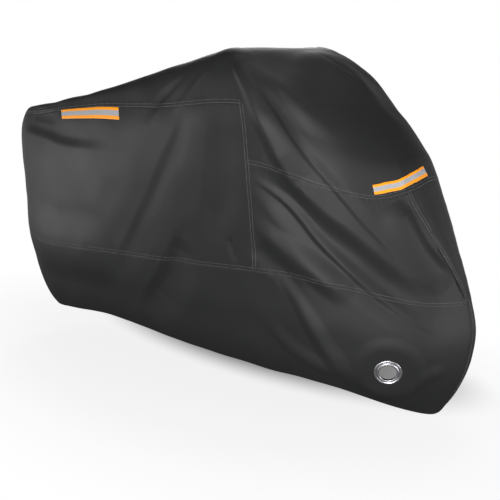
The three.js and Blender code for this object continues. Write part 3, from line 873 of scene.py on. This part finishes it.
def strip(name, top, bottom):
    top, bottom = np.array(top), np.array(bottom)
    ends = clothPoint(top[:, 0], top[:, 1])
    spans = lengths(ends[1:] - ends[:-1])
    along = np.concatenate([k + np.linspace(0, 1, int(length / (stripSize["cell"] * mm)) + 1)[:-1]
                            for k, length in enumerate(spans)] + [[len(spans)]])
    down = np.linspace(0, 1, stripSize["rows"] + 1)
    stops = np.arange(len(top))
    upper, lower = (np.stack([np.interp(along, stops, edge[:, k]) for k in (0, 1)], axis=-1)[:, None]
                    for edge in (top, bottom))
    spots = upper + (lower - upper) * down[None, :, None]
    points = clothPoint(spots[..., 0], spots[..., 1])
    normals = gridNormals(points, False)
    step = np.arange(len(along))[:, None]
    inside = np.minimum(np.minimum(step, len(along) - 1 - step), np.minimum(down, 1 - down)[None] * len(down))
    rise = smoothStep(inside / stripSize["slope"])
    height = stripSize["edge"] + (stripSize["height"] - stripSize["edge"]) * rise
    points = points + normals * height[..., None]
    weave = np.stack(np.broadcast_arrays(step / (len(along) - 1), down[None]), axis=-1)
    cells = np.ones((points.shape[0], points.shape[1] - 1), bool)
    return meshPiece(name, points, cells, weave, tapeLooks)


for name, spot in stripSpots.items():
    pieces[name] = strip(name, **spot)
print("strips ready")


# Stitches, in metres. A ball's corners are few, because it is repeated thousands of times. The rows are
# drawn in steps of a rib or a level, and lie this share of the groove deep.
stitchSize = {"pitch": 0.0042, "length": 0.0033, "thickness": 0.0008, "segments": 5, "rings": 4,
              "ribStep": 0.012, "levelStep": 0.015, "sunk": 0.6}


def stitchTree():
    tree = bpy.data.node_groups.new("stitchRows", "GeometryNodeTree")
    faceOf = tree.interface
    faceOf.new_socket("Rows", in_out="INPUT", socket_type="NodeSocketGeometry")
    for label in ("Pitch", "Length", "Thickness"):
        socket = faceOf.new_socket(label, in_out="INPUT", socket_type="NodeSocketFloat")
        socket.default_value = stitchSize[label.lower()]
    thread = faceOf.new_socket("Thread", in_out="INPUT", socket_type="NodeSocketMaterial").identifier
    faceOf.new_socket("Stitches", in_out="OUTPUT", socket_type="NodeSocketGeometry")
    given = tree.nodes.new("NodeGroupInput").outputs
    curve = addNode(tree, "GeometryNodeMeshToCurve", {"Mesh": given["Rows"]})
    even = addNode(tree, "GeometryNodeResampleCurve",
                   {"Curve": curve.outputs["Curve"], "Length": given["Pitch"]}, mode="LENGTH")
    facing = addNode(tree, "GeometryNodeInputNamedAttribute", {"Name": "facing"}, data_type="FLOAT_VECTOR")
    tangent = addNode(tree, "GeometryNodeInputTangent", {})
    turnAlong = addNode(tree, "FunctionNodeAlignEulerToVector", {
        "Vector": tangent.outputs["Tangent"],
    }, axis="X")
    turnUp = addNode(tree, "FunctionNodeAlignEulerToVector", {
        "Rotation": turnAlong.outputs["Rotation"],
        "Vector": facing.outputs["Attribute"],
    }, axis="Z", pivot_axis="X")
    ball = addNode(tree, "GeometryNodeMeshUVSphere", {
        "Segments": stitchSize["segments"],
        "Rings": stitchSize["rings"],
        "Radius": 0.5,
    })
    size = addNode(tree, "ShaderNodeCombineXYZ", {
        "X": given["Length"],
        "Y": given["Thickness"],
        "Z": given["Thickness"],
    })
    place = addNode(tree, "GeometryNodeInstanceOnPoints", {
        "Points": even.outputs["Curve"],
        "Instance": ball.outputs["Mesh"],
        "Rotation": turnUp.outputs["Rotation"],
        "Scale": size.outputs["Vector"],
    })
    real = addNode(tree, "GeometryNodeRealizeInstances", {"Geometry": place.outputs["Instances"]})
    paint = addNode(tree, "GeometryNodeSetMaterial", {
        "Geometry": real.outputs["Geometry"],
        "Material": given["Thread"],
    })
    addNode(tree, "NodeGroupOutput", {"Stitches": paint.outputs["Geometry"]})
    return tree, thread


stitching, threadSocket = stitchTree()


# Points and normals along one row of stitches, shift metres from its seam
def stitchRow(seam, shift):
    if "level" in seam:
        u = np.arange(*seam["ribs"], stitchSize["ribStep"])
        v = seam["level"] + shift / stretches(u, seam["level"])[1]
    else:
        v = np.arange(*seam["levels"], stitchSize["levelStep"])
        u = seam["rib"] + shift / stretches(seam["rib"], v)[0]
    normals = tangents(clothPoint, u, v)[2]
    height = seamSize["raise"] - seamSize["groove"] * stitchSize["sunk"]
    return clothPoint(u, v) + normals * height, normals


def stitches(name, rows):
    points, edges, facings = [], [], []
    for spots, normals in rows:
        start = len(points)
        points += spots.tolist()
        facings += normals.tolist()
        edges += [(start + k, start + k + 1) for k in range(len(spots) - 1)]
    mesh = bpy.data.meshes.new(name)
    mesh.from_pydata(points, edges, [])
    facing = mesh.attributes.new("facing", "FLOAT_VECTOR", "POINT")
    facing.data.foreach_set("vector", np.array(facings).ravel())
    rowsObject = placeObject(name, mesh)
    modifier = rowsObject.modifiers.new("stitches", "NODES")
    modifier.node_group = stitching
    modifier[threadSocket] = threadLooks
    graph = bpy.context.evaluated_depsgraph_get()
    made = bpy.data.meshes.new_from_object(rowsObject.evaluated_get(graph))
    made.name = name
    rowsObject.modifiers.clear()
    rowsObject.data = made
    return rowsObject


stitchSeams = {
    "stitchesEave": ["eave"], "stitchesYoke": ["yoke"], "stitchesBelt": ["belt"],
    "stitchesUpright": ["sideRight", "sideLeft", "noseRight", "noseLeft", "tailLow", "noseLow"],
}
for name, keys in stitchSeams.items():
    rows = [stitchRow(seams[key], shift) for key in keys for shift in (-seamSize["rows"], seamSize["rows"])]
    pieces[name] = stitches(name, rows)
print("stitches ready")


# The node that each piece stands for
standsFor = {
    "topPanel": "top_panel", "rearSidePanel": "rear_side_panel", "nosePanel": "nose_panel",
    "frontSidePanelRight": "front_side_panel_right", "frontSidePanelLeft": "front_side_panel_left",
    "skirtHalfRight": "skirt_right", "skirtHalfLeft": "skirt_left", "eyeletRight": "eyelet_right",
    "eyeletLeft": "eyelet_left", "rearStrip": "rear_strip", "frontStrip": "front_strip",
}
for name, piece in pieces.items():
    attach(piece, "root")
    if name in standsFor:
        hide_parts(standsFor[name])

# The stage: pale floor round the cover, with a painted shadow under its far side, where the floor's colour
# and glow are darkened. Both are ovals, in metres; past the edge, given in shares of the reach, the floor
# glows in full, and within it by the least share.
floorPale = {"middle": (-0.28, 0.0), "reach": (1.0, 0.55), "edge": (0.7, 1.9), "least": 0.8}
floorPaintedShadow = {"middle": (-0.25, 0.30), "reach": (0.85, 0.31), "edge": (0.62, 1.2), "least": 0.25}
floorLook = {"colour": 0.55, "roughness": 0.9, "specular": 0.1, "radius": 40, "corners": 64}


def ovalShare(tree, oval):
    squeeze = addNode(tree, "ShaderNodeVectorMath", {
        0: ownPlace(tree),
        1: [1 / reach for reach in oval["reach"]] + [0],
        2: [-middle / reach for middle, reach in zip(oval["middle"], oval["reach"])] + [0],
    }, operation="MULTIPLY_ADD")
    far = addNode(tree, "ShaderNodeVectorMath", {0: squeeze.outputs["Vector"]}, operation="LENGTH")
    ends = {"From Min": oval["edge"][0], "From Max": oval["edge"][1], "To Min": oval["least"]}
    return rangeNode(tree, far.outputs["Value"], ends, "SMOOTHSTEP")


def floorMaterial():
    material, tree, shader = newMaterial("studioFloor")
    # painted shadow: the floor's colour and glow are darkened in this oval under the cover's far side
    shade = ovalShare(tree, floorPaintedShadow)
    setInputs(tree, shader, {
        "Base Color": mathNode(tree, "MULTIPLY", shade, floorLook["colour"]),
        "Roughness": floorLook["roughness"],
        "Specular IOR Level": floorLook["specular"],
    })
    glow = addNode(tree, "ShaderNodeEmission", {"Color": (1, 1, 1, 1), "Strength": shade})
    mix = addNode(tree, "ShaderNodeMixShader", {
        "Fac": ovalShare(tree, floorPale),
        1: shader.outputs["BSDF"],
        2: glow.outputs["Emission"],
    })
    setInputs(tree, tree.nodes["Material Output"], {"Surface": mix.outputs["Shader"]})
    return material


def floorDisc():
    radius, corners = floorLook["radius"], floorLook["corners"]
    level = -coverForm["topHeight"] * mm
    angles = [2 * math.pi * k / corners for k in range(corners)]
    mesh = bpy.data.meshes.new("floor")
    mesh.from_pydata([(radius * math.cos(a), radius * math.sin(a), level) for a in angles], [],
                     [tuple(range(corners))])
    mesh.materials.append(floorMaterial())
    return placeObject("floor", mesh)


floor = floorDisc()
floor.visible_diffuse = False  # the floor throws no light up under the hem
floor.visible_glossy = False

coverMiddle, coverTail = (-0.28, 0, -0.55), (-0.9, -0.2, -0.5)
lights = {
    # what it lights, azimuth and height seen from there in degrees; distance and size in metres; watts
    "key": {"at": coverMiddle, "azimuth": 27, "height": 10, "distance": 3.2, "size": 1.5, "power": 158},
    "front": {"at": coverMiddle, "azimuth": 90, "height": 1, "distance": 3.2, "size": 1.2, "power": 50},
    "rim": {"at": coverMiddle, "azimuth": 135, "height": 75, "distance": 3.2, "size": 1.2, "power": 26},
    "tail": {"at": coverTail, "azimuth": -47, "height": 2, "distance": 1.5, "size": 0.7, "power": 17},
    "back": {"at": coverMiddle, "azimuth": 215, "height": 25, "distance": 3.4, "size": 1.6, "power": 60},
}
for name, light in lights.items():
    lamp = bpy.data.lights.new(name, "AREA")
    lamp.size = light["size"]
    lamp.energy = light["power"]
    a, e = math.radians(light["azimuth"]), math.radians(light["height"])
    back = Vector((math.sin(a) * math.cos(e), -math.cos(a) * math.cos(e), math.sin(e)))
    lampObject = placeObject(name, lamp)
    lampObject.location = Vector(light["at"]) + back * light["distance"]
    lampObject.rotation_euler = back.to_track_quat("Z", "Y").to_euler()
    lampObject.visible_camera = False

# The sky by the height of a direction: bright round the horizon, darker overhead and below
skyLook = {
    "above": {"From Min": 0.07, "From Max": 0.26, "To Min": 1.0, "To Max": 0.06},
    "below": {"From Min": -0.35, "From Max": -0.05, "To Min": 0.12, "To Max": 1.0},
}


def worldLight():
    world = bpy.data.worlds.new("studio")
    world.use_nodes = True
    tree = world.node_tree
    place = addNode(tree, "ShaderNodeTexCoord", {})
    height = addNode(tree, "ShaderNodeSeparateXYZ", {"Vector": place.outputs["Generated"]}).outputs["Z"]
    parts = [rangeNode(tree, height, skyLook[part], "SMOOTHSTEP") for part in ("above", "below")]
    setInputs(tree, tree.nodes["Background"], {"Color": mathNode(tree, "MULTIPLY", *parts)})
    bpy.context.scene.world = world


worldLight()
bpy.context.scene.view_settings.view_transform = "Standard"

# The camera
cameraSpot = {"place": (1.2988, -1.9680, 0.009), "azimuth": 35.8, "down": 16.3, "lens": 49.97, "sensor": 36}
cameraData = bpy.data.cameras.new("camera")
cameraData.lens = cameraSpot["lens"]
cameraData.sensor_width = cameraSpot["sensor"]
camera = placeObject("camera", cameraData)
camera.location = cameraSpot["place"]
camera.rotation_euler = (math.radians(90 - cameraSpot["down"]), 0, math.radians(cameraSpot["azimuth"]))
bpy.context.scene.camera = camera
print("stage ready")
